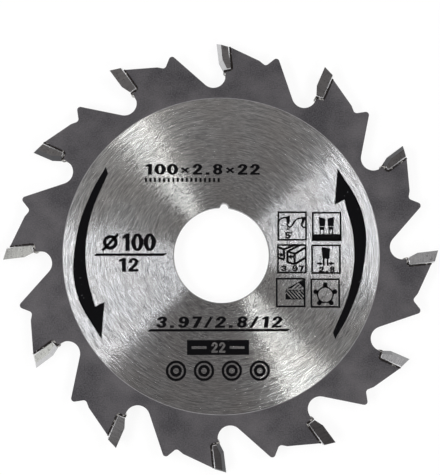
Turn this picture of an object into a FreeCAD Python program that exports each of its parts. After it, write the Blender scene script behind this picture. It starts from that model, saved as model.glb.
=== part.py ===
import FreeCAD, Part
import math
import os

import Sketcher
from FreeCAD import Placement, Rotation, Vector

# Sizes of the blade, in millimetres and degrees
# The blade lies flat: bore centre at the origin, bore axis +Z, marked face up.
# Tooth 01 points 1.2 degrees above +X, and the teeth cut counterclockwise seen from +Z.
SIZES = [
    ("cutting_diameter", 100.0, "circle that the cutting corners run on"),
    ("tooth_count", 12, "carbide teeth, evenly spaced"),
    ("first_tooth_angle", 1.2, "direction of tooth 01 from +X"),
    ("plate_thickness", 2.8, "steel plate between its two faces"),
    ("bore_diameter", 22.0, "arbor hole"),
    ("bore_chamfer", 0.2, "broken edge of the arbor hole"),
    ("notch_radius", 0.95, "half-round laser start notch on the edge of the bore"),
    ("notch_angle", 86.8, "direction of the start notch from +X"),
    ("notch_fillet", 0.3, "rounding where the notch meets the bore"),
    ("ground_step", 0.04, "how far the ground disc lies below the dark rim"),
    ("rim_width", 2.5, "dark rim between the ground disc and the gullet floors"),
    ("tip_side_set", 0.585, "how far a tip stands out past each face of the plate"),
    ("hook_angle", 5.0, "rake face against the tooth's radial line"),
    ("tip_thickness", 2.65, "carbide tip, rake face to back"),
    ("tip_length", 7.05, "cutting corner to foot, along the rake face"),
    ("rake_face_length", 4.8, "rake face from the cutting corner to the nose bevel"),
    ("nose_angle", 20.5, "nose bevel below the rake face"),
    ("tip_corner_radius", 0.4, "rounded back corner of the tip's foot"),
    ("tip_edge_chamfer", 0.22, "broken side edges of the tip's back"),
    ("top_clearance", 17.0, "fall of the tip's top behind the cutting edge"),
    ("top_bevel", 11.0, "alternate bevel of the tip's top"),
    ("face_bevel", 12.0, "alternate bevel of the rake face"),
    ("radial_clearance", 1.5, "tip narrows towards the bore, each side"),
    ("tangential_clearance", 2.5, "tip narrows towards its back, each side"),
    ("braze_gap", 0.2, "silver solder between tip and seat"),
    ("braze_top_depth", 1.75, "where the solder ends behind the tip"),
    ("bead_width", 0.2, "solder bead on the plate's face, past the seat"),
    ("bead_height", 0.18, "solder bead above the plate's face"),
    ("bead_chamfer", 0.1, "sloping outer edge of the bead"),
    ("drip_depth", 0.85, "solder drop on the gullet wall below the tip's foot"),
    ("drip_radius", 0.6, "outer curve of the solder drop"),
    ("wall_setback", 1.85, "straight wall below the seat, behind the tooth's radial line"),
    ("wall_height", 1.09, "straight wall from the seat down to the gullet floor's curve"),
    ("gullet_radius", 2.85, "round floor of the gullet"),
    ("flank_angle", 47.35, "straight gullet side against the radial line of the tooth behind it"),
    ("limiter_drop", 2.4, "top of the chip limiter below the cutting circle"),
    ("limiter_radius", 0.75, "rounded top of the limiter"),
    ("relief_drop", 4.52, "floor of the relief notch below the cutting circle"),
    ("relief_radius", 0.8, "round floor of the relief notch"),
    ("relief_to_limiter", 2.44, "centre of the relief notch to centre of the limiter top"),
    ("relief_front_angle", 11.0, "front side of the relief notch, below square to the tooth behind"),
    ("land_drop", 3.85, "end of the tooth's back below the cutting circle"),
    ("blank_margin", 1.0, "cutting room past the blank's edge"),
]

document = FreeCAD.newDocument("JoinerBlade")
sheet = document.addObject("Spreadsheet::Sheet", "Sizes")
for row, (alias, number, meaning) in enumerate(SIZES, start=1):
    sheet.set("A%d" % row, meaning)
    sheet.set("B%d" % row, str(number))
    sheet.setAlias("B%d" % row, alias)
document.recompute()


def size(alias):
    """The number that the sheet holds under this alias."""
    return float(sheet.get(alias))


# Expressions that more than one piece uses
RADIUS = "Sizes.cutting_diameter / 2"
HALF_KERF = "Sizes.plate_thickness / 2 + Sizes.tip_side_set"
KERF = "(Sizes.plate_thickness + 2 * Sizes.tip_side_set)"
PITCH = "360 / Sizes.tooth_count"
SEAT_DEPTH = "(Sizes.tip_length + Sizes.braze_gap - Sizes.wall_setback * sin(Sizes.hook_angle))"
WALL_TOP = "(" + RADIUS + " - " + SEAT_DEPTH + " / cos(Sizes.hook_angle))"
FLOOR_CENTRE = ("sqrt((Sizes.wall_setback - Sizes.gullet_radius)^2 + (" + WALL_TOP
                + " - Sizes.wall_height)^2)")
DISC_RADIUS = FLOOR_CENTRE + " - Sizes.gullet_radius - Sizes.rim_width"
NOSE_SETBACK = "(Sizes.tip_length - Sizes.rake_face_length) * tan(Sizes.nose_angle)"

# The same lengths as numbers, which give each sketch its starting shape
radius = size("cutting_diameter") / 2
half_kerf = size("plate_thickness") / 2 + size("tip_side_set")
hook = math.radians(size("hook_angle"))
nose = math.radians(size("nose_angle"))
pitch = 2 * math.pi / size("tooth_count")

# What a sketch calls its own origin and axes
ORIGIN = (-1, 1)
AXES = ("x", "y")

# Two places nearer than this count as one, in millimetres
SAME = 0.001


def axis(name):
    """The number that a sketch gives to one of its own axes."""
    return -1 - AXES.index(name)


# Points of one tooth, in its own frame: x trails behind the tooth's radial line, y points outwards
square = Vector(math.cos(hook), math.sin(hook), 0)
along = Vector(math.sin(hook), -math.cos(hook), 0)


def tip_point(back, down):
    """A point so far behind the rake face and so far down from the cutting corner."""
    return Vector(0, radius, 0) + square * back + along * down


def polar(distance, angle):
    """A point at this distance from the bore centre, angle counterclockwise from +y."""
    return Vector(-distance * math.sin(angle), distance * math.cos(angle), 0)


def on_circle(start, direction, distance, far=True):
    """Where a line from start is this far from the bore centre, on its far or near side."""
    middle = -start.dot(direction)
    half_chord = math.sqrt(distance ** 2 - start.dot(start) + middle ** 2)
    return start + direction * (middle + half_chord if far else middle - half_chord)


def wall_point(down):
    """The point of the wall below the seat that lies this far down along the tip."""
    setback = size("wall_setback")
    return Vector(setback, radius - (down - setback * math.sin(hook)) / math.cos(hook), 0)


seat_foot = wall_point(size("tip_length") + size("braze_gap"))
floor_radius = size("gullet_radius")
floor_centre = seat_foot - Vector(floor_radius, size("wall_height"), 0)


def datum(body, role):
    """One of the body's own origin planes or axes."""
    return [item for item in body.Origin.OriginFeatures if item.Role == role][0]


class Outline:
    """A closed sketch outline, drawn edge by edge and joined end to end."""

    def __init__(self, body, name, plane="XY_Plane"):
        self.sketch = body.newObject("Sketcher::SketchObject", name)
        self.sketch.AttachmentSupport = [(datum(body, plane), "")]
        self.sketch.MapMode = "FlatFace"
        self.edges = []

    def offset(self, part, expression):
        """Bind one coordinate of the sketch's place on its plane."""
        self.sketch.setExpression("AttachmentOffset." + part, expression)

    def line(self, start, end):
        """A straight edge of the outline."""
        index = self.sketch.addGeometry(Part.LineSegment(start, end), False)
        self.edges.append((index, 1, 2))
        return index

    def arc(self, centre, start, end, left=False):
        """A round edge from start to end, turning left or right about its centre."""
        first, last = (start, end) if left else (end, start)
        circle = Part.Circle(centre, Vector(0, 0, 1), (start - centre).Length)
        turns = [math.atan2(p.y - centre.y, p.x - centre.x) for p in (first, last)]
        index = self.sketch.addGeometry(Part.ArcOfCircle(circle, turns[0], turns[1]), False)
        self.edges.append((index, 1, 2) if left else (index, 2, 1))
        return index

    def circle(self, centre, circle_radius):
        """A full circle."""
        return self.sketch.addGeometry(Part.Circle(centre, Vector(0, 0, 1), circle_radius), False)

    def guide(self, start, end):
        """A construction line, which measures but cuts nothing."""
        return self.sketch.addGeometry(Part.LineSegment(start, end), True)

    def rule(self, *words):
        """A constraint without a size."""
        self.sketch.addConstraint(Sketcher.Constraint(*words))

    def measure(self, words, number, expression):
        """A constraint whose size follows the sheet."""
        index = self.sketch.addConstraint(Sketcher.Constraint(*words, number))
        self.sketch.setExpression("Constraints[%d]" % index, expression)

    def close(self, smooth=()):
        """Join each edge to the next, and tangentially where it is listed as smooth."""
        for here, there in zip(self.edges, self.edges[1:] + self.edges[:1]):
            kind = "Tangent" if (here[0], there[0]) in smooth else "Coincident"
            self.rule(kind, here[0], here[2], there[0], there[1])

    def end_of(self, index, last):
        """The sketch's name for the first or last point of an edge."""
        entry = [edge for edge in self.edges if edge[0] == index][0]
        return (index, entry[2] if last else entry[1])


def rake_guide(outline):
    """The rake face as a construction line, from the cutting corner down to the foot."""
    length = size("tip_length")
    guide = outline.guide(tip_point(0, 0), tip_point(0, length))
    outline.rule("PointOnObject", guide, 1, axis("y"))
    outline.measure(("Distance", *ORIGIN, guide, 1), radius, RADIUS)
    outline.measure(("Angle", guide), hook - math.pi / 2, "Sizes.hook_angle - 90")
    outline.measure(("Distance", guide), length, "Sizes.tip_length")
    return guide


def seat_rules(outline, guide, back, corner, floor, gap):
    """Hold a back edge, corner and floor at a gap from the back and foot of the tip."""
    clearance = sum(size(name) for name in gap)
    extra = "".join(" + Sizes." + name for name in gap)
    outline.rule("Parallel", guide, back)
    outline.rule("Perpendicular", guide, floor)
    outline.measure(("Distance", guide, 1, back), size("tip_thickness") + clearance,
                    "Sizes.tip_thickness" + extra)
    outline.measure(("Distance", guide, 1, floor), size("tip_length") + clearance,
                    "Sizes.tip_length" + extra)
    outline.measure(("Radius", corner), size("tip_corner_radius") + clearance,
                    "Sizes.tip_corner_radius" + extra)


def wall_rules(outline, wall):
    """Hold a straight edge on the wall below the seat."""
    outline.rule("Vertical", wall)
    outline.measure(("DistanceX", *ORIGIN, wall, 1), seat_foot.x, "Sizes.wall_setback")


def seat_points(gap):
    """The foot at the wall, and the two ends and the centre of the seat's corner, for one gap."""
    clearance = sum(size(name) for name in gap)
    back = size("tip_thickness") + clearance
    down = size("tip_length") + clearance
    turn = size("tip_corner_radius") + clearance
    corner = tip_point(back - turn, down - turn)
    return wall_point(down), tip_point(back - turn, down), tip_point(back, down - turn), corner


def new_body(label, number):
    """A body drawn with its tooth pointing along +Y, then turned to where that tooth stands."""
    body = document.addObject("PartDesign::Body", label)
    body.Label = label
    body.Placement = Placement(Vector(0, 0, 0), Rotation(Vector(0, 0, 1), 1))
    body.setExpression("Placement.Rotation.Angle",
                       "Sizes.first_tooth_angle - 90 + %d * %s" % (number - 1, PITCH))
    return body


def mirror_below(body, name, feature):
    """Repeat a feature of the upper face on the lower one."""
    both = body.newObject("PartDesign::Mirrored", name)
    both.Originals = [feature]
    both.MirrorPlane = (datum(body, "XY_Plane"), [""])
    body.Tip = both
    document.recompute()
    return both


def through_all(body, name, outline):
    """Cut an outline right through the plate."""
    cut = body.newObject("PartDesign::Pocket", name)
    cut.Profile = outline.sketch
    cut.Type = "ThroughAll"
    cut.Midplane = True
    document.recompute()
    return cut


# Plate: blank, ground disc, bore with its start notch, then the gaps between the teeth
def round_outline(body, name, number, expression):
    """A circle about the bore axis."""
    outline = Outline(body, name)
    ring = outline.circle(Vector(0, 0, 0), number)
    outline.rule("Coincident", ring, 3, *ORIGIN)
    outline.measure(("Radius", ring), number, expression)
    return outline


def bore_outline(body):
    """The bore, with a half-round notch whose lips run smoothly into it."""
    bore = size("bore_diameter") / 2
    dent = size("notch_radius")
    lip = size("notch_fillet")
    centre = Vector(-bore, 0, 0)
    reach = bore + lip
    turn = math.acos((reach ** 2 + bore ** 2 - (dent + lip) ** 2) / (2 * reach * bore))
    lips = [Vector(-reach * math.cos(turn), way * reach * math.sin(turn), 0) for way in (1, -1)]
    on_bore = [point * (bore / reach) for point in lips]
    on_dent = [centre + (point - centre) * (dent / (dent + lip)) for point in lips]

    outline = Outline(body, "BoreOutline")
    outline.sketch.AttachmentOffset = Placement(Vector(0, 0, 0), Rotation(Vector(0, 0, 1), 1))
    outline.offset("Rotation.Angle", "Sizes.notch_angle - 90 - Sizes.first_tooth_angle")
    ring = outline.arc(Vector(0, 0, 0), on_bore[1], on_bore[0], left=True)
    first = outline.arc(lips[0], on_bore[0], on_dent[0])
    hollow = outline.arc(centre, on_dent[0], on_dent[1], left=True)
    second = outline.arc(lips[1], on_dent[1], on_bore[1])
    outline.close(smooth=[(ring, first), (first, hollow), (hollow, second), (second, ring)])
    outline.rule("Coincident", ring, 3, *ORIGIN)
    outline.measure(("Radius", ring), bore, "Sizes.bore_diameter / 2")
    outline.rule("PointOnObject", hollow, 3, axis("x"))
    outline.measure(("DistanceX", hollow, 3, *ORIGIN), bore, "Sizes.bore_diameter / 2")
    outline.measure(("Radius", hollow), dent, "Sizes.notch_radius")
    for corner in (first, second):
        outline.measure(("Radius", corner), lip, "Sizes.notch_fillet")
    return outline


def gap_outline(body):
    """The space from the back of one tooth down its gullet to the seat of the next."""
    flank = math.radians(size("flank_angle"))
    front = math.radians(size("relief_front_angle"))
    top_radius = size("limiter_radius")
    relief = size("relief_radius")
    inward = Vector(-math.cos(flank), -math.sin(flank), 0)
    upward = Vector(-math.sin(flank), math.cos(flank), 0)
    flank_foot = floor_centre + inward * floor_radius
    limiter_distance = radius - size("limiter_drop") - top_radius
    limiter = on_circle(flank_foot + inward * top_radius, upward, limiter_distance)
    relief_distance = radius - size("relief_drop") + relief
    spacing = size("relief_to_limiter")
    turn = math.acos((limiter_distance ** 2 + relief_distance ** 2 - spacing ** 2)
                     / (2 * limiter_distance * relief_distance))
    relief_centre = polar(relief_distance, math.atan2(-limiter.x, limiter.y) + turn)
    fall = Vector(math.cos(front), -math.sin(front), 0)
    fall_foot = relief_centre - Vector(math.sin(front), math.cos(front), 0) * relief
    land_distance = radius - size("land_drop")
    land_end = on_circle(fall_foot, fall, land_distance, far=False)
    between = limiter - relief_centre
    slope = math.atan2(between.y, between.x) + math.asin((relief + top_radius) / between.Length)
    normal = Vector(math.sin(slope), -math.cos(slope), 0)
    rise_foot = relief_centre + normal * relief
    rise_top = limiter - normal * top_radius
    outer = radius + size("blank_margin")
    foot, corner_floor, corner_back, corner = seat_points(["braze_gap"])
    wall_foot = floor_centre + Vector(floor_radius, 0, 0)
    back_top = on_circle(corner_back, along * -1, outer)

    outline = Outline(body, "GapOutline")
    land = outline.line(polar(radius, pitch), land_end)
    drop = outline.line(land_end, fall_foot)
    notch = outline.arc(relief_centre, fall_foot, rise_foot, left=True)
    rise = outline.line(rise_foot, rise_top)
    crest = outline.arc(limiter, rise_top, limiter - inward * top_radius)
    side = outline.line(limiter - inward * top_radius, flank_foot)
    gullet = outline.arc(floor_centre, flank_foot, wall_foot, left=True)
    wall = outline.line(wall_foot, foot)
    floor = outline.line(foot, corner_floor)
    bend = outline.arc(corner, corner_floor, corner_back, left=True)
    back = outline.line(corner_back, back_top)
    rim = outline.arc(Vector(0, 0, 0), back_top, polar(outer, pitch), left=True)
    outline.line(polar(outer, pitch), polar(radius, pitch))
    outline.close(smooth=[(drop, notch), (notch, rise), (rise, crest), (crest, side), (side, gullet),
                          (gullet, wall), (floor, bend), (bend, back)])

    ray = outline.guide(Vector(0, 0, 0), polar(radius, pitch))
    outline.rule("Coincident", ray, 1, *ORIGIN)
    outline.rule("Coincident", ray, 2, *outline.end_of(land, last=False))
    outline.measure(("Distance", ray), radius, RADIUS)
    outline.measure(("Angle", ray), math.pi / 2 + pitch, "90 + " + PITCH)
    outline.rule("Coincident", rim, 3, *ORIGIN)
    outline.measure(("Radius", rim), outer, RADIUS + " + Sizes.blank_margin")
    outline.rule("PointOnObject", *outline.end_of(rim, last=True), ray)
    seat_rules(outline, rake_guide(outline), back, bend, floor, ["braze_gap"])
    wall_rules(outline, wall)
    outline.measure(("Distance", wall), size("wall_height"), "Sizes.wall_height")
    outline.measure(("Radius", gullet), floor_radius, "Sizes.gullet_radius")
    outline.measure(("Angle", side), flank - math.pi / 2, "Sizes.flank_angle - 90")
    outline.measure(("Radius", crest), top_radius, "Sizes.limiter_radius")
    outline.measure(("Distance", *ORIGIN, crest, 3), limiter_distance,
                    RADIUS + " - Sizes.limiter_drop - Sizes.limiter_radius")
    outline.measure(("Radius", notch), relief, "Sizes.relief_radius")
    outline.measure(("Distance", *ORIGIN, notch, 3), relief_distance,
                    RADIUS + " - Sizes.relief_drop + Sizes.relief_radius")
    outline.measure(("Distance", notch, 3, crest, 3), spacing, "Sizes.relief_to_limiter")
    outline.measure(("Angle", drop), -front, "-Sizes.relief_front_angle")
    outline.measure(("Distance", *ORIGIN, *outline.end_of(land, last=True)), land_distance,
                    RADIUS + " - Sizes.land_drop")
    return outline


def make_plate():
    """The steel plate with its ground disc, bore, start notch and tooth gaps."""
    body = new_body("blade_body", 1)
    thickness = "Sizes.plate_thickness"
    blank = body.newObject("PartDesign::Pad", "Blank")
    blank.Profile = round_outline(body, "BlankOutline", radius, RADIUS).sketch
    blank.Midplane = True
    blank.setExpression("Length", thickness)
    document.recompute()

    disc_radius = floor_centre.Length - floor_radius - size("rim_width")
    disc = round_outline(body, "DiscOutline", disc_radius, DISC_RADIUS)
    disc.offset("Base.z", thickness + " / 2")
    ground = body.newObject("PartDesign::Pocket", "GroundDisc")
    ground.Profile = disc.sketch
    ground.setExpression("Length", "Sizes.ground_step")
    document.recompute()
    mirror_below(body, "GroundDiscBelow", ground)

    cut = through_all(body, "Bore", bore_outline(body))
    broken = body.newObject("PartDesign::Chamfer", "BoreEdges")
    broken.Base = (cut, bore_edges(cut.Shape))
    broken.setExpression("Size", "Sizes.bore_chamfer")
    document.recompute()

    gap = through_all(body, "ToothGap", gap_outline(body))
    teeth = body.newObject("PartDesign::PolarPattern", "ToothGaps")
    teeth.Originals = [gap]
    teeth.Axis = (datum(body, "Z_Axis"), [""])
    teeth.Angle = 360
    teeth.setExpression("Occurrences", "Sizes.tooth_count")
    body.Tip = teeth
    document.recompute()


def bore_edges(shape):
    """Edges of the bore and its notch that lie in the two ground faces."""
    level = size("plate_thickness") / 2 - size("ground_step")
    reach = size("bore_diameter") / 2 + size("notch_radius")
    names = []
    for number, edge in enumerate(shape.Edges, start=1):
        box = edge.BoundBox
        flat = box.ZLength < SAME and abs(abs(box.ZMin) - level) < SAME
        if flat and max(math.hypot(v.X, v.Y) for v in edge.Vertexes) < reach + SAME:
            names.append("Edge%d" % number)
    return names


# Carbide tips: a pressed blank that the face and top grinding leave wedge shaped
def tip_outline(body, name, side, trailing):
    """One side of a tip: the leading side, or the side that both bevels cut back."""
    shift = half_kerf * 2 * math.tan(math.radians(size("face_bevel"))) if trailing else 0.0
    fall = half_kerf * 2 * math.tan(math.radians(size("top_bevel"))) if trailing else 0.0
    thickness = size("tip_thickness")
    length = size("tip_length")
    turn = size("tip_corner_radius")
    slope = hook + math.radians(size("top_clearance"))
    top_shift = fall * math.cos(math.radians(size("top_clearance"))) / math.cos(slope)
    face_end = size("rake_face_length") - shift * math.tan(nose / 2)
    toe = shift / math.cos(nose) + (length - size("rake_face_length")) * math.tan(nose)

    outline = Outline(body, name)
    outline.offset("Base.z", "%d * (%s)" % (side, HALF_KERF))
    corner = tip_point(shift, shift * math.tan(slope) + top_shift)
    heel = tip_point(thickness, thickness * math.tan(slope) + top_shift)
    face = outline.line(corner, tip_point(shift, face_end))
    bevel = outline.line(tip_point(shift, face_end), tip_point(toe, length))
    foot = outline.line(tip_point(toe, length), tip_point(thickness - turn, length))
    bend = outline.arc(tip_point(thickness - turn, length - turn), tip_point(thickness - turn, length),
                       tip_point(thickness, length - turn), left=True)
    back = outline.line(tip_point(thickness, length - turn), heel)
    top = outline.line(heel, corner)
    outline.close(smooth=[(foot, bend), (bend, back)])

    guide = rake_guide(outline)
    seat_rules(outline, guide, back, bend, foot, [])
    outline.measure(("Angle", bevel), hook + nose - math.pi / 2, "Sizes.hook_angle + Sizes.nose_angle - 90")
    outline.measure(("Angle", top), math.pi - math.radians(size("top_clearance")),
                    "180 - Sizes.top_clearance")
    outline.rule("Parallel", face, guide)
    if not trailing:
        outline.rule("Coincident", face, 1, guide, 1)
        outline.measure(("Distance", face), face_end, "Sizes.rake_face_length")
        return outline
    outline.measure(("Distance", guide, 1, face), shift, KERF + " * tan(Sizes.face_bevel)")
    outline.measure(("Distance", guide, 1, top), fall * math.cos(math.radians(size("top_clearance"))),
                    KERF + " * tan(Sizes.top_bevel) * cos(Sizes.top_clearance)")
    outline.measure(("Distance", face), face_end - shift * math.tan(slope) - top_shift,
                    "Sizes.rake_face_length - " + KERF + " * (tan(Sizes.face_bevel)"
                    " * (tan(Sizes.nose_angle / 2) + tan(Sizes.hook_angle + Sizes.top_clearance))"
                    " + tan(Sizes.top_bevel) * cos(Sizes.top_clearance)"
                    " / cos(Sizes.hook_angle + Sizes.top_clearance))")
    return outline


def side_relief(body, name, side):
    """Grind one side face so that it falls away inwards and backwards from the cutting corner."""
    reach = size("tip_length") + size("blank_margin")
    fall = math.radians(size("radial_clearance"))
    outline = Outline(body, name, "YZ_Plane")
    outline.sketch.AttachmentOffset = Placement(Vector(0, 0, 0), Rotation(Vector(1, 0, 0), 90 - 90 * side))
    outline.offset("Base.x", RADIUS)
    outline.offset("Base.y", "%d * (%s)" % (side, HALF_KERF))
    inner = Vector(-reach, -reach * math.tan(fall), 0)
    slant = outline.line(Vector(0, 0, 0), inner)
    rise = outline.line(inner, Vector(-reach, reach, 0))
    across = outline.line(Vector(-reach, reach, 0), Vector(0, reach, 0))
    outline.line(Vector(0, reach, 0), Vector(0, 0, 0))
    outline.close()
    outline.rule("Coincident", slant, 1, *ORIGIN)
    outline.rule("Vertical", rise)
    outline.rule("Horizontal", across)
    outline.rule("PointOnObject", across, 2, axis("y"))
    outline.measure(("Angle", slant), fall - math.pi, "Sizes.radial_clearance - 180")
    outline.measure(("DistanceX", slant, 2, slant, 1), reach, "Sizes.tip_length + Sizes.blank_margin")
    outline.measure(("DistanceY", slant, 1, across, 2), reach, "Sizes.tip_length + Sizes.blank_margin")
    cut = body.newObject("PartDesign::Pocket", name + "Cut")
    cut.Profile = outline.sketch
    cut.Type = "ThroughAll"
    cut.Midplane = True
    cut.UseCustomVector = True
    cut.Direction = Vector(1, 0, -side * math.tan(math.radians(size("tangential_clearance"))))
    cut.setExpression("Direction.z", "%d * tan(Sizes.tangential_clearance)" % -side)
    document.recompute()
    return cut


def back_edges(shape):
    """The long side edges of a tip's back and of its rounded foot corner."""
    names = []
    back = tip_point(size("tip_thickness"), 0)
    for number, edge in enumerate(shape.Edges, start=1):
        ends = [vertex.Point for vertex in edge.Vertexes]
        distances = [abs((point - back).cross(along).z) for point in ends]
        upright = len(ends) == 2 and abs(ends[0].z - ends[1].z) > half_kerf
        if max(distances) < SAME and not upright and edge.Length > size("tip_length") / 2:
            names.append("Edge%d" % number)
    return names


def make_tip(number):
    """One carbide tip; odd and even teeth lead with opposite sides."""
    side = 1 if number % 2 else -1
    body = new_body("carbide_tip_%02d" % number, number)
    leading = tip_outline(body, "LeadingSide", side, trailing=False)
    trailing = tip_outline(body, "TrailingSide", -side, trailing=True)
    blank = body.newObject("PartDesign::AdditiveLoft", "Blank")
    blank.Profile = leading.sketch
    blank.Sections = [trailing.sketch]
    blank.Ruled = True
    document.recompute()
    side_relief(body, "UpperSide", 1)
    ground = side_relief(body, "LowerSide", -1)
    broken = body.newObject("PartDesign::Chamfer", "BackEdges")
    broken.Base = (ground, back_edges(ground.Shape))
    broken.setExpression("Size", "Sizes.tip_edge_chamfer")
    body.Tip = broken
    document.recompute()


# Silver solder: a layer in the seat, a bead along each face and a drop on the gullet wall
def solder_outline(body, name, gap):
    """From the tip's foot and back outwards to the same shape at the given gap."""
    length = size("tip_length")
    thickness = size("tip_thickness")
    turn = size("tip_corner_radius")
    top_depth = size("braze_top_depth")
    toe_setback = (length - size("rake_face_length")) * math.tan(nose)
    toe = tip_point(toe_setback, length)
    outer_back = thickness + sum(size(part) for part in gap)
    foot, corner_floor, corner_back, corner = seat_points(gap)
    drip_end = wall_point(length + size("drip_depth"))
    chord = toe - drip_end
    drip = size("drip_radius")
    bulge = Vector(chord.y, -chord.x, 0).normalize() * math.sqrt(drip ** 2 - chord.Length ** 2 / 4)
    drop_centre = (toe + drip_end) * 0.5 + bulge

    outline = Outline(body, name)
    under = outline.line(toe, tip_point(thickness - turn, length))
    inner = outline.arc(tip_point(thickness - turn, length - turn), tip_point(thickness - turn, length),
                        tip_point(thickness, length - turn), left=True)
    behind = outline.line(tip_point(thickness, length - turn), tip_point(thickness, top_depth))
    top = outline.line(tip_point(thickness, top_depth), tip_point(outer_back, top_depth))
    back = outline.line(tip_point(outer_back, top_depth), corner_back)
    bend = outline.arc(corner, corner_back, corner_floor)
    floor = outline.line(corner_floor, foot)
    wall = outline.line(foot, drip_end)
    drop = outline.arc(drop_centre, drip_end, toe)
    outline.close(smooth=[(under, inner), (inner, behind), (back, bend), (bend, floor)])

    guide = rake_guide(outline)
    seat_rules(outline, guide, behind, inner, under, [])
    seat_rules(outline, guide, back, bend, floor, gap)
    outline.rule("Perpendicular", guide, top)
    outline.measure(("Distance", guide, 1, top), top_depth, "Sizes.braze_top_depth")
    wall_rules(outline, wall)
    outline.measure(("Distance", under, 1, guide), toe_setback, NOSE_SETBACK)
    outline.measure(("Distance", *outline.end_of(wall, last=True), under), size("drip_depth"),
                    "Sizes.drip_depth")
    outline.measure(("Radius", drop), drip, "Sizes.drip_radius")
    return outline


def bead_edges(shape):
    """Outer top edges of the bead, over the plate behind the tip and below its foot."""
    top = size("plate_thickness") / 2 + size("bead_height")
    outer_back = size("tip_thickness") + size("braze_gap") + size("bead_width")
    outer_floor = size("tip_length") + size("braze_gap") + size("bead_width")
    names = []
    for number, edge in enumerate(shape.Edges, start=1):
        ends = [vertex.Point - tip_point(0, 0) for vertex in edge.Vertexes]
        level = all(abs(abs(point.z) - top) < SAME for point in ends)
        behind = all(abs(point.dot(square) - outer_back) < SAME for point in ends)
        below = all(abs(point.dot(along) - outer_floor) < SAME for point in ends)
        if level and (behind or below):
            names.append("Edge%d" % number)
    return names


def make_seam(number):
    """The solder that holds one tip in its seat."""
    body = new_body("braze_seam_%02d" % number, number)
    layer = body.newObject("PartDesign::Pad", "Layer")
    layer.Profile = solder_outline(body, "LayerOutline", ["braze_gap"]).sketch
    layer.Midplane = True
    layer.setExpression("Length", "Sizes.plate_thickness + 2 * Sizes.bead_height")
    document.recompute()
    rim = solder_outline(body, "BeadOutline", ["braze_gap", "bead_width"])
    rim.offset("Base.z", "Sizes.plate_thickness / 2")
    bead = body.newObject("PartDesign::Pad", "Bead")
    bead.Profile = rim.sketch
    bead.setExpression("Length", "Sizes.bead_height")
    document.recompute()
    both = mirror_below(body, "BeadBelow", bead)
    sloped = body.newObject("PartDesign::Chamfer", "BeadEdges")
    sloped.Base = (both, bead_edges(both.Shape))
    sloped.setExpression("Size", "Sizes.bead_chamfer")
    body.Tip = sloped
    document.recompute()


make_plate()
for tooth in range(1, int(size("tooth_count")) + 1):
    make_tip(tooth)
    make_seam(tooth)

# Check every object, then write one file for each piece
document.recompute()
for item in document.Objects:
    if "Invalid" in item.State or "Error" in item.State:
        raise RuntimeError("%s did not build: %s" % (item.Name, item.State))
pieces = [item for item in document.Objects if item.TypeId == "PartDesign::Body"]
for piece in pieces:
    if piece.Shape.isNull() or not piece.Shape.isValid() or len(piece.Shape.Solids) != 1:
        raise RuntimeError("%s is not one sound solid" % piece.Label)
os.makedirs("parts", exist_ok=True)
for piece in pieces:
    piece.Shape.exportStep("parts/%s.step" % piece.Label)
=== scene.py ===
# Biscuit joiner blade: materials, print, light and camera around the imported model
import math

import bpy
from mathutils import Matrix, Vector


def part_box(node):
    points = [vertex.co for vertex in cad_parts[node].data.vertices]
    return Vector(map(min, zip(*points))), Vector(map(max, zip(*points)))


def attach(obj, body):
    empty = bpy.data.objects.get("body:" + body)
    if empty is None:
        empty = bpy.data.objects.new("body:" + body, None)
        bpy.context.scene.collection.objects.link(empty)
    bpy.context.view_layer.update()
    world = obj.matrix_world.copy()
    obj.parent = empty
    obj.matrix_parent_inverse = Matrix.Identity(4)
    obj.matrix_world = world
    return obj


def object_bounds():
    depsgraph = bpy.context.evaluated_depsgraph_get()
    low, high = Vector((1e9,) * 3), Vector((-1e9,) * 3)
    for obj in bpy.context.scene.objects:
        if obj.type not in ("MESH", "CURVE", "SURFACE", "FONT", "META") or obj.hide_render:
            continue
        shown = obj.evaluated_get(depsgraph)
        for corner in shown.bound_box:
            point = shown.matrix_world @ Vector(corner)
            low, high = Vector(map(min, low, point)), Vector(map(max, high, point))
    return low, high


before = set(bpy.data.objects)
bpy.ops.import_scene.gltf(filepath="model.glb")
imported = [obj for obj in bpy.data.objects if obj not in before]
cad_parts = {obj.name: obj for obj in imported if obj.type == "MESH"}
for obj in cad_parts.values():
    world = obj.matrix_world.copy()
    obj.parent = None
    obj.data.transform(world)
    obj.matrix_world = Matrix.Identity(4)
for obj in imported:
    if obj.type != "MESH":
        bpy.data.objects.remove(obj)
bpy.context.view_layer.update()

MM = 0.001

# Places on the blade, read from the frame, in metres; the ground face is the next level below the rim
LEVELS_APART = 1e-5
SAME_LEVEL = 1e-6
plate_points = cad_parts["blade_body"].data.vertices
rim_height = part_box("blade_body")[1].z
face_height = max(round(v.co.z, 6) for v in plate_points if v.co.z < rim_height - LEVELS_APART)
disc_radius = max(v.co.xy.length for v in plate_points if abs(v.co.z - face_height) < SAME_LEVEL)
bore_radius = min(v.co.xy.length for v in plate_points)
solder_foot = min(v.co.xy.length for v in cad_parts["braze_seam_01"].data.vertices)

# The print, in millimetres; its middle lies a little off the bore's, as the pad came down
PRINT_MIDDLE = (-0.32, 0.52)
INK = 0.02                      # thickness of the film
INK_SUNK = 0.005                # how much of it fills the grinding lines
PEN = 0.4                       # width of a drawn line
SHARPEST = 0.4                  # keeps a drawn line's sharp corners from reaching out too far
DIGIT_TALL = 1.6                # height of the cell that a digit is drawn in; the cell is 1 wide
SQUARE = 6.6                    # side of a framed square, before the pad spread it
SQUARE_GROWS = (1.035, 1.027)   # how far the pad spread it, across and up
SAME_POINT = 0.002              # outline points nearer than this are merged

# Streaks have their stated length on a circle of this radius, in millimetres
STREAK_CIRCLE = 24

# How much of the floor shows as plain white; the rest is its own shading, which keeps the shadow
PLAIN_WHITE = 0.88


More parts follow.
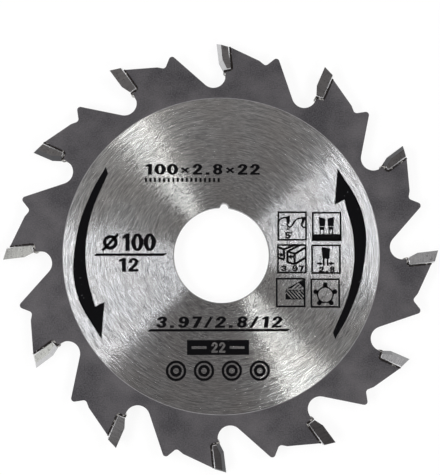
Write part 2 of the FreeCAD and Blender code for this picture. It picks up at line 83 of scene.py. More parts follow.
def linear(hex_text):
    """An sRGB hex colour as linear red, green, blue and alpha."""
    parts = [int(hex_text[i:i + 2], 16) / 255 for i in (1, 3, 5)]
    return [p / 12.92 if p <= 0.04045 else ((p + 0.055) / 1.055) ** 2.4 for p in parts] + [1.0]


def add(tree, kind, inputs=None, **settings):
    """Add one node; an input takes a number, a colour, a socket, or a node's first output in use.

    Numbered inputs: a MapRange has its value at 0, the range it comes from at 1 and 2 and the range
    it goes to at 3 and 4. A Mix has its share at 0, two numbers at 2 and 3, two colours at 6 and 7."""
    node = tree.nodes.new("ShaderNode" + kind)
    for name, value in settings.items():
        setattr(node, name, value)
    for name, value in (inputs or {}).items():
        if isinstance(value, bpy.types.Node):
            value = next(socket for socket in value.outputs if socket.enabled)
        if isinstance(value, bpy.types.NodeSocket):
            tree.links.new(value, node.inputs[name])
        else:
            node.inputs[name].default_value = value
    return node


def new_material(name):
    """An empty material with its output; returns the material, its tree and the surface input."""
    material = bpy.data.materials.new(name)
    material.use_nodes = True
    material.node_tree.nodes.clear()
    output = material.node_tree.nodes.new("ShaderNodeOutputMaterial")
    return material, material.node_tree, output.inputs["Surface"]


def from_bore(tree, place):
    """The place without its height, and its distance from the bore's axis."""
    flat = add(tree, "VectorMath", {0: place, 1: (1, 1, 0)}, operation="MULTIPLY")
    return flat, add(tree, "VectorMath", {0: flat}, operation="LENGTH").outputs["Value"]


def circular_streaks(tree, place, length, width):
    """Noise drawn out along circles about the bore: streaks of this length and width, in mm.

    Real grinding lines are some hundredths of a millimetre wide, too fine to show in the render, so
    these are drawn as coarse as they need to be."""
    flat, distance = from_bore(tree, place)
    around = add(tree, "VectorMath", {0: flat}, operation="NORMALIZE")
    turned = add(tree, "VectorMath", {0: around, "Scale": STREAK_CIRCLE / length}, operation="SCALE")
    across = add(tree, "Math", {0: distance, 1: 1 / (width * MM)}, operation="MULTIPLY")
    outward = add(tree, "CombineXYZ", {2: across})
    drawn = add(tree, "VectorMath", {0: turned, 1: outward}, operation="ADD")
    return add(tree, "TexNoise", {"Vector": drawn, "Scale": 1, "Detail": 3, "Roughness": 0.65})


# Tool steel plate: blasted and darkened at the rim, so that it is matte and a little cloudy, ground in
# circles inside it, so that each lamp draws a bright fan, and cut by laser at its edges, which are brown
def plate_material():
    material, tree, surface = new_material("ground_and_blasted_tool_steel")
    coords = add(tree, "TexCoord")
    place = coords.outputs["Object"]
    flat, distance = from_bore(tree, place)

    # Where the cut walls and the ground disc are
    normal = add(tree, "SeparateXYZ", {0: coords.outputs["Normal"]})
    upright = add(tree, "Math", {0: normal.outputs[2]}, operation="ABSOLUTE")
    wall = add(tree, "MapRange", {0: upright, 1: 0.3, 2: 0.7, 3: 1.0, 4: 0.0})
    blend = 0.03 * MM
    ground = add(tree, "MapRange", {0: distance, 1: disc_radius - blend, 2: disc_radius + blend,
                                    3: 1.0, 4: 0.0})

    # Patterns; real blasting grain and grinding grit leave marks under 0.1 mm, so theirs are drawn coarser
    scratches = circular_streaks(tree, place, 1.2, 0.14)
    scuffs = circular_streaks(tree, place, 5, 0.3)
    grooves = circular_streaks(tree, place, 3, 0.24)
    hairs = circular_streaks(tree, place, 14, 0.12)
    grain = add(tree, "TexNoise", {"Vector": flat, "Scale": 1 / (0.3 * MM), "Detail": 2})
    grit = add(tree, "TexNoise", {"Vector": flat, "Scale": 1 / (0.28 * MM), "Detail": 1, "Roughness": 0.6})
    clouds = add(tree, "TexNoise", {"Vector": flat, "Scale": 1 / (9 * MM), "Detail": 3})

    # Ground steel: grinding lines, pits, warmer clouds and a few long hairs, darker towards the bore and
    # darkest in a thin ring of painted shade at the bore's edge
    lines = add(tree, "Mix", {0: 0.5, 2: scratches, 3: grooves})
    tone = add(tree, "MapRange", {0: lines, 1: 0.36, 2: 0.64, 3: 0.0, 4: 1.0})
    steel = add(tree, "Mix", {0: tone, 6: linear("#8e9193"), 7: linear("#f4f6f7")}, data_type="RGBA")
    pits = add(tree, "MapRange", {0: grit, 1: 0.66, 2: 0.72, 3: 0.0, 4: 0.5})
    steel = add(tree, "Mix", {0: pits, 6: steel, 7: linear("#6a686c")}, data_type="RGBA")
    warm = add(tree, "MapRange", {0: clouds, 1: 0.4, 2: 0.65, 3: 0.0, 4: 0.3})
    steel = add(tree, "Mix", {0: warm, 6: steel, 7: linear("#b6b0ab")}, data_type="RGBA")
    hair = add(tree, "MapRange", {0: hairs, 1: 0.64, 2: 0.7, 3: 0.0, 4: 0.5})
    steel = add(tree, "Mix", {0: hair, 6: steel, 7: linear("#f6f8f8")}, data_type="RGBA")
    inner = add(tree, "MapRange", {0: distance, 1: bore_radius, 2: disc_radius, 3: 0.22, 4: 0.0})
    steel = add(tree, "Mix", {0: inner, 6: steel, 7: linear("#6e6e70")}, data_type="RGBA")
    # Painted shade: a thin dark ring just outside the bore
    bore_edge_painted_shade = add(tree, "MapRange", {0: distance, 1: bore_radius + 0.1 * MM, 2: bore_radius + 0.2 * MM,
                                         3: 0.7, 4: 0.0})
    steel = add(tree, "Mix", {0: bore_edge_painted_shade, 6: steel, 7: linear("#3c3b3d")}, data_type="RGBA")

    # Blasted rim: mottled, with dusty clouds; the step up to it is a painted highlight, a thin bright line;
    # cut walls are brown
    mottle = add(tree, "MapRange", {0: grain, 1: 0.3, 2: 0.7, 3: 0.0, 4: 1.0})
    rim = add(tree, "Mix", {0: mottle, 6: linear("#1c1b1f"), 7: linear("#424044")}, data_type="RGBA")
    dusty = add(tree, "MapRange", {0: clouds, 1: 0.35, 2: 0.65, 3: 0.0, 4: 0.34})
    rim = add(tree, "Mix", {0: dusty, 6: rim, 7: linear("#6d6a6c")}, data_type="RGBA")
    body = add(tree, "Mix", {0: ground, 6: rim, 7: steel}, data_type="RGBA")
    # A painted highlight: a thin bright line along the step from the ground disc up to the rim
    step, half_step = disc_radius + 0.04 * MM, 0.07 * MM
    edge = add(tree, "Math", {0: distance, 1: step, 2: half_step}, operation="COMPARE")
    body = add(tree, "Mix", {0: edge, 6: body, 7: linear("#888789")}, data_type="RGBA")
    cut = add(tree, "Mix", {0: mottle, 6: linear("#3f3c3c"), 7: linear("#6b6765")}, data_type="RGBA")
    body = add(tree, "Mix", {0: wall, 6: body, 7: cut}, data_type="RGBA")

    # Each scratch runs a little off the circle, more so further out, which makes the fans' edges gritty
    shift = add(tree, "VectorMath", {0: scratches.outputs["Color"], 1: grit.outputs["Color"]},
                operation="SUBTRACT")
    shift = add(tree, "VectorMath", {0: shift, 1: (0.18, 0.18, 0)}, operation="MULTIPLY")
    outer = add(tree, "Math", {0: distance, 1: disc_radius}, operation="DIVIDE")
    shift = add(tree, "VectorMath", {0: shift, "Scale": outer}, operation="SCALE")
    outward = add(tree, "VectorMath", {0: flat}, operation="NORMALIZE")
    tangent = add(tree, "VectorMath", {0: outward, 1: shift}, operation="ADD")

    # Blasting leaves an oxide that is barely metallic; grinding lines and grit are the relief
    metallic = add(tree, "MapRange", {0: ground, 3: 0.25, 4: 1.0})
    rough_ground = add(tree, "MapRange", {0: scuffs, 1: 0.3, 2: 0.7, 3: 0.27, 4: 0.23})
    rough = add(tree, "Mix", {0: ground, 2: 0.6, 3: rough_ground})
    relief = add(tree, "Mix", {0: ground, 2: grain, 3: scratches})
    relief = add(tree, "Math", {0: relief, 1: pits}, operation="SUBTRACT")
    bump = add(tree, "Bump", {"Strength": 0.4, "Distance": 0.025 * MM, "Height": relief})
    shader = add(tree, "BsdfPrincipled", {"Base Color": body, "Metallic": metallic, "Roughness": rough,
                                          "Normal": bump, "Tangent": tangent, "Anisotropic": ground})
    tree.links.new(shader.outputs[0], surface)
    return material


# Tungsten carbide: its flat sides ground to a mirror, its sloping edges given a painted highlight; the faces
# and the back are dull on most tips, while three tips get smoother faces whose brighter colour is a painted
# reflection
def carbide_material(name, face_dark, face_light, face_rough, grazing):
    material, tree, surface = new_material(name)
    coords = add(tree, "TexCoord")
    place = coords.outputs["Object"]
    normal = add(tree, "SeparateXYZ", {0: coords.outputs["Normal"]})
    upright = add(tree, "Math", {0: normal.outputs[2]}, operation="ABSOLUTE")

    # A tip's flat sides lie level, its chamfered edges slope, and its face and back stand upright
    ground_side = add(tree, "MapRange", {0: upright, 1: 0.9, 2: 0.97, 3: 0.0, 4: 1.0})
    sloped_edge_painted_highlight = add(tree, "MapRange", {0: upright, 1: 0.3, 2: 0.4, 3: 0.0, 4: 1.0})

    # Grinding lines show on the sides, dark pits all over
    lines = circular_streaks(tree, place, 2.0, 0.2)
    pits = add(tree, "TexNoise", {"Vector": place, "Scale": 1 / (0.4 * MM), "Detail": 3})
    tone = add(tree, "MapRange", {0: lines, 1: 0.3, 2: 0.7, 3: 0.0, 4: 1.0})
    face = add(tree, "Mix", {0: pits, 6: linear(face_dark), 7: linear(face_light)}, data_type="RGBA")
    side = add(tree, "Mix", {0: tone, 6: linear("#8e8e90"), 7: linear("#b0b0b1")}, data_type="RGBA")
    # Sloping edges get a near-white painted highlight
    grey = add(tree, "Mix", {0: sloped_edge_painted_highlight, 6: face, 7: linear("#ececee")}, data_type="RGBA")
    grey = add(tree, "Mix", {0: ground_side, 6: grey, 7: side}, data_type="RGBA")
    dark = add(tree, "MapRange", {0: pits, 1: 0.6, 2: 0.7, 3: 0.0, 4: 0.6})
    grey = add(tree, "Mix", {0: dark, 6: grey, 7: linear("#3d3d40")}, data_type="RGBA")
    rough = add(tree, "MapRange", {0: ground_side, 3: face_rough, 4: 0.09})
    bump = add(tree, "Bump", {"Strength": 0.1, "Distance": 0.01 * MM, "Height": lines})
    shader = add(tree, "BsdfPrincipled", {"Base Color": grey, "Metallic": 1.0, "Roughness": rough,
                                          "Normal": bump, "Specular Tint": linear(grazing)})
    tree.links.new(shader.outputs[0], surface)
    return material


# Silver solder: flowed and frozen; a dark film, partly burnt flux and partly painted shade beside the tip's
# back, with bright lumps, partly bare silver and partly painted glints, most of them at the foot
def solder_material():
    material, tree, surface = new_material("silver_solder_painted_shade_and_glints")
    place = add(tree, "TexCoord").outputs["Object"]
    lumps = add(tree, "TexNoise", {"Vector": place, "Scale": 1 / (0.5 * MM), "Detail": 2})
    film = add(tree, "TexNoise", {"Vector": place, "Scale": 1 / (0.8 * MM), "Detail": 2})
    distance = from_bore(tree, place)[1]
    pooled = add(tree, "MapRange", {0: distance, 1: solder_foot, 2: solder_foot + 1.2 * MM,
                                    3: -0.06, 4: 0.08})
    film = add(tree, "Math", {0: film, 1: pooled}, operation="ADD")
    share = add(tree, "MapRange", {0: film, 1: 0.4, 2: 0.5, 3: 0.0, 4: 1.0})
    # Dark film: burnt flux and painted shade; bright lumps: bare silver and painted glints
    flux_and_silver_with_painted_shade_and_glints = add(tree, "Mix", {0: share, 6: linear("#d6d4d0"), 7: linear("#2b2827")}, data_type="RGBA")
    rough = add(tree, "MapRange", {0: share, 3: 0.25, 4: 0.5})
    bump = add(tree, "Bump", {"Strength": 0.7, "Distance": 0.08 * MM, "Height": lumps})
    shader = add(tree, "BsdfPrincipled", {"Base Color": flux_and_silver_with_painted_shade_and_glints, "Metallic": 1.0, "Roughness": rough,
                                          "Normal": bump})
    tree.links.new(shader.outputs[0], surface)
    return material


# Pad-printed ink: a thin black film, half matte, with pinholes where the steel shines through
def ink_material():
    material, tree, surface = new_material("pad_printed_black_ink")
    place = add(tree, "TexCoord").outputs["Object"]
    holes = add(tree, "TexNoise", {"Vector": place, "Scale": 1 / (0.5 * MM), "Detail": 1})
    share = add(tree, "MapRange", {0: holes, 1: 0.76, 2: 0.8, 3: 0.0, 4: 0.7})
    black = add(tree, "Mix", {0: share, 6: linear("#070709"), 7: linear("#77777a")}, data_type="RGBA")
    rough = add(tree, "MapRange", {0: holes, 1: 0.3, 2: 0.7, 3: 0.42, 4: 0.55})
    shader = add(tree, "BsdfPrincipled", {"Base Color": black, "Roughness": rough,
                                          "Specular IOR Level": 0.04})
    tree.links.new(shader.outputs[0], surface)
    return material


# White studio floor: it keeps the blade's soft shadow and fades to plain white beside it
def floor_material():
    material, tree, surface = new_material("white_paper_sweep")
    path = add(tree, "LightPath")
    seen = add(tree, "Math", {0: path.outputs["Is Camera Ray"], 1: path.outputs["Is Glossy Ray"]},
               operation="MAXIMUM")
    seen = add(tree, "Math", {0: seen, 1: path.outputs["Is Transmission Ray"]}, operation="MAXIMUM")
    share = add(tree, "Math", {0: seen, 1: PLAIN_WHITE}, operation="MULTIPLY")
    paper = add(tree, "BsdfPrincipled", {"Base Color": linear("#f4f4f4"), "Roughness": 0.9,
                                         "Specular IOR Level": 0.0})
    white = add(tree, "Emission", {"Color": linear("#ffffff"), "Strength": 1.0})
    mixed = add(tree, "MixShader", {0: share, 1: paper, 2: white})
    tree.links.new(mixed.outputs[0], surface)
    return material


# Outlines of the print: closed rings of (x, y, round), in millimetres
def corners(points):
    """An outline with straight sides."""
    return [(x, y, False) for x, y in points]


def circle(x, y, radius):
    """A round outline."""
    turns = [math.radians(45 * i) for i in range(8)]
    return [(x + radius * math.cos(t), y + radius * math.sin(t), True) for t in turns]


def rectangle(left, bottom, right, top):
    """An upright rectangle."""
    return corners([(left, bottom), (right, bottom), (right, top), (left, top)])


def line(points, width):
    """A drawn line through these points, as an outline with mitred corners."""
    path = [Vector(p) for p in points]
    sides = []
    for i, here in enumerate(path):
        before = (here - path[i - 1]).normalized() if i else (path[1] - here).normalized()
        after = (path[i + 1] - here).normalized() if i + 1 < len(path) else before
        middle = (before + after).normalized()
        reach = width / 2 / max(middle.dot(before), SHARPEST)
        sides.append(Vector((-middle.y, middle.x)) * reach)
    left = [here + side for here, side in zip(path, sides)]
    right = [here - side for here, side in zip(path, sides)]
    return corners([tuple(p) for p in left + right[::-1]])


def ring_point(angle, radius, smooth):
    """A point of the arrow, by its angle in degrees and its distance from the print's middle."""
    turn = math.radians(angle)
    return radius * math.cos(turn), radius * math.sin(turn), smooth


# Heavy condensed digits, a point, a slash and a times sign, each drawn in its cell; some use less of
# its width
DIGITS = {
    "0": [[(0, 0.42, True), (0, 1.18, True), (0.5, 1.6, True), (1, 1.18, True), (1, 0.42, True),
           (0.5, 0, True)],
          [(0.4, 0.42, True), (0.4, 1.18, True), (0.5, 1.33, True), (0.6, 1.18, True), (0.6, 0.42, True),
           (0.5, 0.27, True)]],
    "1": [corners([(0.32, 0), (0.72, 0), (0.72, 1.6), (0.42, 1.6), (0.06, 1.38), (0.06, 1.1), (0.32, 1.2)])],
    "2": [[(0.02, 1.02, False), (0.02, 1.2, True), (0.5, 1.6, True), (0.98, 1.2, True), (0.88, 0.85, True),
           (0.46, 0.31, False), (0.98, 0.31, False), (0.98, 0, False), (0.02, 0, False), (0.02, 0.27, False),
           (0.55, 0.98, True), (0.61, 1.2, True), (0.5, 1.33, True), (0.39, 1.2, True),
           (0.39, 1.02, False)]],
    "3": [[(0.02, 1.08, False), (0.02, 1.22, True), (0.5, 1.6, True), (0.97, 1.2, True), (0.82, 0.83, False),
           (0.98, 0.42, True), (0.5, 0, True), (0.02, 0.4, True), (0.02, 0.52, False), (0.39, 0.52, False),
           (0.39, 0.42, True), (0.5, 0.28, True), (0.61, 0.46, True), (0.5, 0.68, True), (0.34, 0.7, False),
           (0.34, 0.95, False), (0.5, 0.97, True), (0.61, 1.15, True), (0.5, 1.32, True), (0.39, 1.2, True),
           (0.39, 1.08, False)]],
    "5": [[(0.06, 1.6, False), (0.94, 1.6, False), (0.94, 1.29, False), (0.42, 1.29, False),
           (0.4, 1.02, False), (0.62, 1.05, True), (0.98, 0.58, True), (0.5, 0, True), (0.02, 0.38, True),
           (0.02, 0.5, False), (0.39, 0.5, False), (0.39, 0.42, True), (0.5, 0.28, True),
           (0.61, 0.54, True), (0.5, 0.77, True), (0.38, 0.68, False), (0.04, 0.72, False)]],
    "7": [corners([(0.04, 1.6), (0.96, 1.6), (0.96, 1.3), (0.6, 0), (0.2, 0), (0.55, 1.28), (0.04, 1.28)])],
    "8": [[(0.5, 1.6, True), (0.97, 1.22, True), (0.86, 0.85, True), (0.98, 0.42, True), (0.5, 0, True),
           (0.02, 0.42, True), (0.14, 0.85, True), (0.03, 1.22, True)],
          [(0.5, 1.33, True), (0.62, 1.18, True), (0.5, 1.0, True), (0.38, 1.18, True)],
          [(0.5, 0.69, True), (0.63, 0.47, True), (0.5, 0.27, True), (0.37, 0.47, True)]],
    "9": [[(0.5, 1.6, True), (0.98, 1.18, True), (0.98, 0.42, True), (0.5, 0, True), (0.03, 0.36, True),
           (0.03, 0.46, False), (0.39, 0.46, False), (0.4, 0.38, True), (0.5, 0.27, True),
           (0.61, 0.45, True), (0.61, 0.68, False), (0.42, 0.6, True), (0.02, 1.1, True)],
          [(0.5, 1.33, True), (0.62, 1.1, True), (0.5, 0.88, True), (0.38, 1.1, True)]],
    ".": [rectangle(0.08, 0, 0.46, 0.36)],
    "/": [corners([(0, 0), (0.3, 0), (0.78, 1.6), (0.48, 1.6)])],
    "x": [corners([(0.06, 0.4), (0.24, 0.22), (0.5, 0.5), (0.76, 0.22), (0.94, 0.4), (0.67, 0.67),
                   (0.94, 0.94), (0.76, 1.12), (0.5, 0.85), (0.24, 1.12), (0.06, 0.94), (0.33, 0.67)])],
}
NARROW = {"1": 0.78, ".": 0.54, "/": 0.8}


def numbers(text, left, bottom, width, height, gap=0.16, slant=0.0):
    """Outlines of plain numbers; width is one digit's, gap is in digit widths, slant leans them over."""
    outlines = []
    start = 0
    for digit in text:
        for outline in DIGITS[digit]:
            outlines.append([(left + (x + start) * width + y * slant,
                              bottom + y * height / DIGIT_TALL, smooth) for x, y, smooth in outline])
        start += NARROW.get(digit, 1) + gap
    return outlines


def deselect():
    """Leave nothing selected."""
    bpy.ops.object.select_all(action="DESELECT")


def flat_shape(outlines, swell=0.0):
    """A film of ink between outlines; one inside another is a hole; swell makes the strokes bolder."""
    deselect()
    bpy.ops.object.add(type="CURVE")
    shape = bpy.context.object
    shape.data.dimensions = "2D"
    shape.data.fill_mode = "BOTH"
    shape.data.extrude = INK / 2
    shape.data.offset = swell
    shape.data.resolution_u = 8
    for outline in outlines:
        spline = shape.data.splines.new("BEZIER")
        spline.bezier_points.add(len(outline) - 1)
        spline.use_cyclic_u = True
        for point, (x, y, smooth) in zip(spline.bezier_points, outline):
            point.co = (x, y, 0)
            point.handle_left_type = point.handle_right_type = "AUTO" if smooth else "VECTOR"
    bpy.ops.object.convert(target="MESH")
    return bpy.context.view_layer.objects.active


def lay_on_face(name, shapes):
    """Join flat shapes into one piece of the print and put it on the ground face."""
    deselect()
    for shape in shapes:
        shape.select_set(True)
    bpy.context.view_layer.objects.active = shapes[0]
    if len(shapes) > 1:
        bpy.ops.object.join()
    piece = bpy.context.view_layer.objects.active
    bpy.ops.object.mode_set(mode="EDIT")
    bpy.ops.mesh.select_all(action="SELECT")
    bpy.ops.mesh.remove_doubles(threshold=SAME_POINT)
    bpy.ops.mesh.normals_make_consistent(inside=False)
    bpy.ops.object.mode_set(mode="OBJECT")
    piece.scale = (MM, MM, MM)
    middle = face_height + (INK / 2 - INK_SUNK) * MM
    piece.location = (PRINT_MIDDLE[0] * MM, PRINT_MIDDLE[1] * MM, middle)
    bpy.ops.object.transform_apply(location=True, rotation=True, scale=True)
    piece.name = piece.data.name = name
    piece.data.materials.clear()
    piece.data.materials.append(ink)
    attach(piece, "root")


def arrow(half_turn):
    """The direction arrow: a swelling band with a barbed head; its twin stands opposite."""
    band = [(-37, 33.05, False), (-24, 32.8, True), (-5, 33.3, True), (15, 34.2, True), (36, 33.65, False),
            (22.9, 28.8, False), (23.1, 31.25, False), (5, 30.98, True), (-15, 30.97, True),
            (-35.4, 31.75, False)]
    outline = [ring_point(angle + half_turn, distance, smooth) for angle, distance, smooth in band]
    return flat_shape([outline])


def tapered_rule(left, right, level, height):
    """A ruled line with slanted ends."""
    slant = height * 1.2
    return flat_shape([corners([(left, level - height / 2), (right - slant, level - height / 2),
                                (right, level + height / 2), (left + slant, level + height / 2)])])


def in_square(outlines, left, bottom):
    """Move outlines that were drawn from a square's lower left corner to where the square stands."""
    wide, high = SQUARE_GROWS
    return [[(x * wide + left, y * high + bottom, smooth) for x, y, smooth in outline]
            for outline in outlines]


def hook_drawing():
    """Two teeth seen from the side, with the gullets between them."""
    backs = [[(0.0, 3.9), (0.35, 4.5), (0.9, 5.0), (1.9, 5.3)],
             [(2.15, 3.95), (2.25, 3.3), (2.6, 3.05), (3.0, 3.1), (3.5, 3.8), (3.9, 4.4), (4.5, 4.95),
              (5.8, 5.2)],
             [(5.45, 4.0), (5.45, 3.4), (5.8, 3.0), (6.4, 2.95)]]
    tips = [[(1.75, 5.4), (2.8, 5.65), (2.85, 4.9), (2.7, 3.75), (2.1, 3.9), (2.0, 4.7)],
            [(5.5, 5.2), (6.2, 5.4), (6.2, 4.8), (5.8, 3.7), (5.25, 3.85), (5.5, 4.7)]]
    marks = [[(2.2, 3.0), (2.2, 2.35)], [(2.6, 3.0), (2.6, 2.35)]]
    lines = [[line(points, 0.36)] for points in backs] + [[line(points, 0.24)] for points in marks]
    return lines + [[corners(tip)] for tip in tips] + [[circle(3.15, 1.85, 0.24), circle(3.15, 1.85, 0.08)]]


def bevel_drawing():
    """Two tips seen from the front, bevelled to opposite sides, over a dark foot."""
    left = [[(1.55, 5.5), (3.0, 5.05), (2.92, 3.35), (1.62, 3.35)],
            [(1.65, 3.25), (2.9, 3.25), (2.76, 2.55), (1.76, 2.55)]]
    twice_middle = 6.5
    right = [[(twice_middle - x, y) for x, y in reversed(part)] for part in left]
    stems = [line([(x, 2.6), (x, 1.5)], 0.26) for x in (1.86, 2.66, 3.84, 4.64)]
    foot = rectangle(0, 0, SQUARE, 1.58)
    return [[foot]] + [[corners(part)] for part in left + right] + [[stem] for stem in stems]


def kerf_drawing():
    """A grooved board seen from a corner, with arrows at the groove and its width."""
    edges = [[(0, 6.0), (1.5, 5.4), (4.2, 6.5)], [(1.5, 5.3), (1.58, 3.1)], [(0, 3.65), (1.6, 3.1)],
             [(2.35, 5.0), (5.2, 6.4)], [(3.9, 4.4), (6.5, 5.9)], [(2.3, 5.0), (3.95, 4.4)],
             [(2.3, 2.55), (3.95, 2.05)], [(2.3, 5.1), (2.3, 2.5)], [(3.9, 4.5), (3.9, 2.0)],
             [(3.9, 2.1), (6.4, 3.6)]]
    arrows = [[(0.1, 4.45), (0.7, 4.45), (0.7, 4.8), (1.55, 4.2), (0.7, 3.6), (0.7, 3.95), (0.1, 3.95)],
              [(3.75, 4.0), (3.2, 4.0), (3.2, 4.35), (2.4, 3.75), (3.2, 3.15), (3.2, 3.5), (3.75, 3.5)]]
    return [[line(points, 0.5)] for points in edges] + [[corners(points)] for points in arrows]


def plate_drawing():
    """One tooth seen from the front, with arrows at the plate behind it and its thickness."""
    tip = [(2.3, 6.1), (4.2, 5.7), (4.08, 3.4), (2.5, 3.4)]
    arrows = [[(1.3, 2.5), (1.8, 2.5), (1.8, 2.8), (2.55, 2.3), (1.8, 1.8), (1.8, 2.1), (1.3, 2.1)],
              [(5.1, 2.1), (4.6, 2.1), (4.6, 1.8), (3.85, 2.3), (4.6, 2.8), (4.6, 2.5), (5.1, 2.5)]]
    stem = [[(2.75, 3.5), (2.75, 1.85)], [(3.65, 3.5), (3.65, 1.85)]]
    return [[corners(points)] for points in [tip, *arrows]] + [[line(points, PEN)] for points in stem]


def board_drawing():
    """A board seen from a corner, its end and its face hatched with slits."""
    slit = 0.36
    end = [rectangle(2.15, 1.75, 6.35, 3.95)]
    first, step, slope = 2.5, 0.76, 1.1
    left_end, right_end, top, foot = 2.35, 6.2, 3.78, 1.95
    for i in range(-1, 5):
        left = first + i * step
        sides = []
        for x in (left, left + slit):
            high, low = top - max(left_end - x, 0) * slope, max(foot, top - (right_end - x) * slope)
            sides.append([(x + (top - y) / slope, y) for y in (high, low)])
        end.append(corners(sides[0] + sides[1][::-1]))
    face = [corners([(2.15, 4.05), (6.35, 4.05), (6.35, 6.25), (5.9, 6.15)])]
    first, step, right_end, foot = 3.1, 0.95, 6.1, 4.2
    for i in range(3):
        x = first + i * step
        far, high = x + (right_end - x) * 0.5, foot + (right_end - x) * 0.44
        face.append(corners([(x, foot), (x + slit, foot), (far + slit, high), (far, high)]))
    return [end, face]


def ring_drawing():
    """A five-sided ring with a dot at each corner."""
    x, y, reach, hole, dot = 3.3, 2.9, 2.26, 1.57, 0.52
    turns = [math.radians(90 + 72 * i) for i in range(5)]
    places = [(x + reach * math.cos(t), y + reach * math.sin(t)) for t in turns]
    return [[corners(places), circle(x, y, hole)]] + [[circle(*place, dot)] for place in places]


def build_squares():
    """Six framed squares, each with its drawing."""
    frame_line = [rectangle(0, 0, SQUARE, SQUARE), rectangle(PEN, PEN, SQUARE - PEN, SQUARE - PEN)]
    bolder = 0.03
    for name, left, bottom, drawing, written in [
            ("hook", 13.2, 2.83, hook_drawing(), numbers("5", 1.7, 0.5, 1.25, 1.4)),
            ("bevel", 21.2, 2.72, bevel_drawing(), []),
            ("kerf", 13.1, -4.75, kerf_drawing(), numbers("3.97", 0.9, 0.5, 1.2, 1.3, 0.24)),
            ("plate", 21.0, -4.85, plate_drawing(), numbers("2.8", 1.65, 0.4, 1.2, 1.2, 0.24)),
            ("board", 12.77, -12.53, board_drawing(), []),
            ("ring", 20.75, -12.66, ring_drawing(), [])]:
        parts = [flat_shape(in_square(part, left, bottom)) for part in [frame_line, *drawing]]
        if written:
            parts.append(flat_shape(in_square(written, left, bottom), bolder))
        lay_on_face("print_square_" + name, parts)


def build_print():
    """All of the print, piece by piece."""
    lay_on_face("print_arrow_right", [arrow(0)])
    lay_on_face("print_arrow_left", [arrow(180)])
    sign = [circle(-25.3, 2.45, 1.7), circle(-25.3, 2.45, 0.9)]
    slash = line([(-27.1, 0.55), (-23.5, 4.35)], 0.65)
    outlines = numbers("100", -22.6, 0.45, 2.45, 4.05)
    lay_on_face("print_diameter", [flat_shape(outlines), flat_shape(sign), flat_shape([slash])])
    lay_on_face("print_upper_rule", [tapered_rule(-29.2, -12.3, -0.4, 0.6)])
    lay_on_face("print_tooth_number", [flat_shape(numbers("12", -23.4, -4.3, 2.4, 3.15))])
    lay_on_face("print_size_line", [flat_shape(numbers("100x2.8x22", -17.4, 18.1, 2.3, 2.5, 0.25))])
    step = 1.05
    ticks = [rectangle(-17.4 + i * step, 16.4, -16.9 + i * step, 17.35) for i in range(17)]
    lay_on_face("print_ticks", [flat_shape([tick]) for tick in ticks])
    lay_on_face("print_cut_line", [flat_shape(numbers("3.97/2.8/12", -14.8, -17.2, 2.35, 2.6, 0.28, 0.25))])
    lay_on_face("print_lower_rule", [tapered_rule(-16.8, 16.0, -17.75, 0.55)])
    box = [rectangle(-7.66, -23.4, 6.54, -20.0), *numbers("22", -2.1, -22.9, 1.5, 2.4)]
    bars = [rectangle(-6.6, -22.0, -3.2, -21.4), rectangle(2.1, -22.0, 5.5, -21.4)]
    lay_on_face("print_bore_box", [flat_shape(box + bars)])
    spots = [flat_shape([circle(x, -27.0, radius) for radius in (2.33, 1.75, 1.35, 0.65)])
             for x in (-10.17, -3.78, 2.6, 8.99)]
    lay_on_face("print_round_marks", spots)


ink = ink_material()
build_print()
build_squares()

# Finishes of the CAD nodes, by how their names start; the first that fits is taken
# Tips 04 and 08 get a bright face and tip 12 a half bright one: smoother, and lighter in colour as a painted
# reflection
carbide_painted_bright_reflection = carbide_material("tungsten_carbide_painted_bright_reflection", "#a4a4a6", "#c4c4c6", 0.12, "#ffffff")
carbide_painted_half_reflection = carbide_material("tungsten_carbide_painted_half_reflection", "#58585b", "#7c7c7f", 0.2, "#e0e0e0")
finishes = {
    "blade_body": plate_material(),
    "carbide_tip_04": carbide_painted_bright_reflection,
    "carbide_tip_08": carbide_painted_bright_reflection,
    "carbide_tip_12": carbide_painted_half_reflection,
    "carbide_tip": carbide_material("ground_tungsten_carbide", "#434346", "#67676a", 0.42, "#cbcbcb"),
    "braze_seam": solder_material(),
}
for name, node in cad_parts.items():
    finish = next(material for start, material in finishes.items() if name.startswith(start))
    node.data.materials.clear()
    node.data.materials.append(finish)

# Floor, under the lowest point of the blade
FLOOR_SIDE = 6
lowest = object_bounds()[0].z
deselect()
bpy.ops.mesh.primitive_plane_add(size=FLOOR_SIDE, location=(0, 0, lowest))
floor = bpy.context.object
floor.name = "floor"
floor.data.materials.append(floor_material())


def softbox(name, azimuth, elevation, distance, width, height, watts, colour):
    """A rectangular lamp aimed at the bore; azimuth runs counterclockwise from +X."""
    lamp = bpy.data.lights.new(name, "AREA")
    lamp.shape = "RECTANGLE"
    lamp.size = width
    lamp.size_y = height
    lamp.energy = watts
    lamp.color = linear(colour)[:3]
    holder = bpy.data.objects.new(name, lamp)
    bpy.context.scene.collection.objects.link(holder)
    turn, rise = math.radians(azimuth), math.radians(elevation)
    away = Vector((math.cos(turn) * math.cos(rise), math.sin(turn) * math.cos(rise), math.sin(rise)))
    holder.location = away * distance
    holder.rotation_euler = away.to_track_quat("Z", "Y").to_euler()
    holder.visible_camera = False


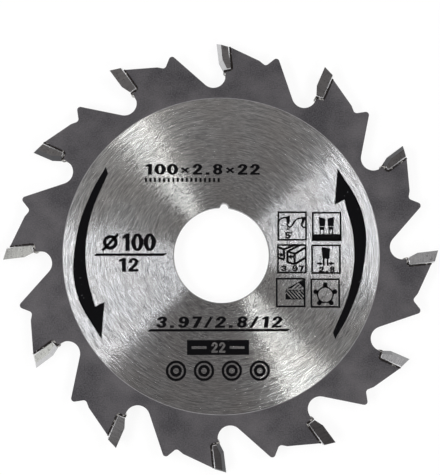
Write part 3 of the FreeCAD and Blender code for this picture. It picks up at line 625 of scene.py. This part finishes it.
# Two facing pairs of softboxes draw the bright fans on the ground disc, a dim one a faint fan, and a
# narrow strip at one end of each of the four gives its fan the crisp edge on that side
COOL, WARM, GREENISH, WHITE = "#fcfcff", "#fffef9", "#f8faf2", "#ffffff"
SOFTBOX_ELEVATION = 50
SOFTBOX_DISTANCE = 0.6
SOFTBOX_HEIGHT = 0.16
STRIP_WIDTH = 0.03
for name, azimuth, width, watts, colour in [
        ("broad_softbox_right", 14, 0.3, 1.1, COOL),
        ("broad_softbox_left", 191, 0.385, 2.02, COOL),
        ("strip_softbox_back", 121.6, 0.078, 0.265, WARM),
        ("strip_softbox_front", 308.8, 0.112, 0.68, WARM),
        ("dim_softbox", 347, 0.146, 0.1, WHITE),
        ("edge_strip_right", 39.4, STRIP_WIDTH, 0.15, COOL),
        ("edge_strip_left", 219.3, STRIP_WIDTH, 0.28, COOL),
        ("edge_strip_back", 117.2, STRIP_WIDTH, 0.11, WARM),
        ("edge_strip_front", 301.8, STRIP_WIDTH, 0.2, WARM)]:
    softbox(name, azimuth, SOFTBOX_ELEVATION, SOFTBOX_DISTANCE, width, SOFTBOX_HEIGHT, watts, colour)

# Five square ceiling panels glint in the flat sides of a few tips and lay a dim fan beside the bright ones
PANEL_DISTANCE = 3
for name, azimuth, elevation, side, watts, colour in [
        ("ceiling_panel_left_back", 128.1, 80.1, 0.12, 0.07, GREENISH),
        ("ceiling_panel_left", 157.8, 81.8, 0.13, 0.105, GREENISH),
        ("ceiling_panel_left_front", 189, 82.7, 0.12, 0.014, WHITE),
        ("ceiling_panel_right", 347.1, 80.4, 0.14, 0.045, WHITE),
        ("ceiling_panel_front", 317.6, 82, 0.14, 0.07, WHITE)]:
    softbox(name, azimuth, elevation, PANEL_DISTANCE, side, side, watts, colour)

# Room: a bright band at the horizon, where the white sweep rises, and a ceiling that is dimmer in front
world = bpy.data.worlds.new("studio")
bpy.context.scene.world = world
world.use_nodes = True
world.node_tree.nodes.clear()
sky = world.node_tree
direction = add(sky, "SeparateXYZ", {0: add(sky, "TexCoord").outputs["Generated"]})
rise = add(sky, "MapRange", {0: direction.outputs[2], 1: 0.1, 2: 0.4, 3: 0.0, 4: 1.0})
lean = add(sky, "MapRange", {0: direction.outputs[1], 1: -0.3, 2: 0.3, 3: 0.0, 4: 1.0})
ceiling = add(sky, "Mix", {0: lean, 6: linear("#322e30"), 7: linear("#a4a09e")}, data_type="RGBA")
shade = add(sky, "Mix", {0: rise, 6: linear("#f0f0f0"), 7: ceiling}, data_type="RGBA")
room = add(sky, "Background", {"Color": shade, "Strength": 1.0})
sky.links.new(room.outputs[0], sky.nodes.new("ShaderNodeOutputWorld").inputs["Surface"])

# Camera: where the photograph was taken from, found from the bore and the twelve teeth
FOCAL_LENGTH = 88.09
SENSOR_WIDTH = 36
VIEW_DISTANCE = 269 * MM
LEAN_ABOUT_X = math.radians(3.63)
LEAN_ABOUT_Y = math.radians(-1.51)
BORE_RIGHT_OF_CENTRE = 0.356 * MM
BORE_BELOW_CENTRE = 4.15 * MM
lens = bpy.data.cameras.new("photo_camera")
lens.sensor_width = SENSOR_WIDTH
lens.lens = FOCAL_LENGTH
lens.clip_start = 0.01
lens.clip_end = 20
camera = bpy.data.objects.new("photo_camera", lens)
bpy.context.scene.collection.objects.link(camera)
facing = Matrix.Rotation(LEAN_ABOUT_X, 3, "X") @ Matrix.Rotation(LEAN_ABOUT_Y, 3, "Y")
camera.rotation_euler = facing.to_euler()
camera.location = facing @ Vector((-BORE_RIGHT_OF_CENTRE, BORE_BELOW_CENTRE, VIEW_DISTANCE))
bpy.context.scene.camera = camera
bpy.context.scene.view_settings.view_transform = "Standard"
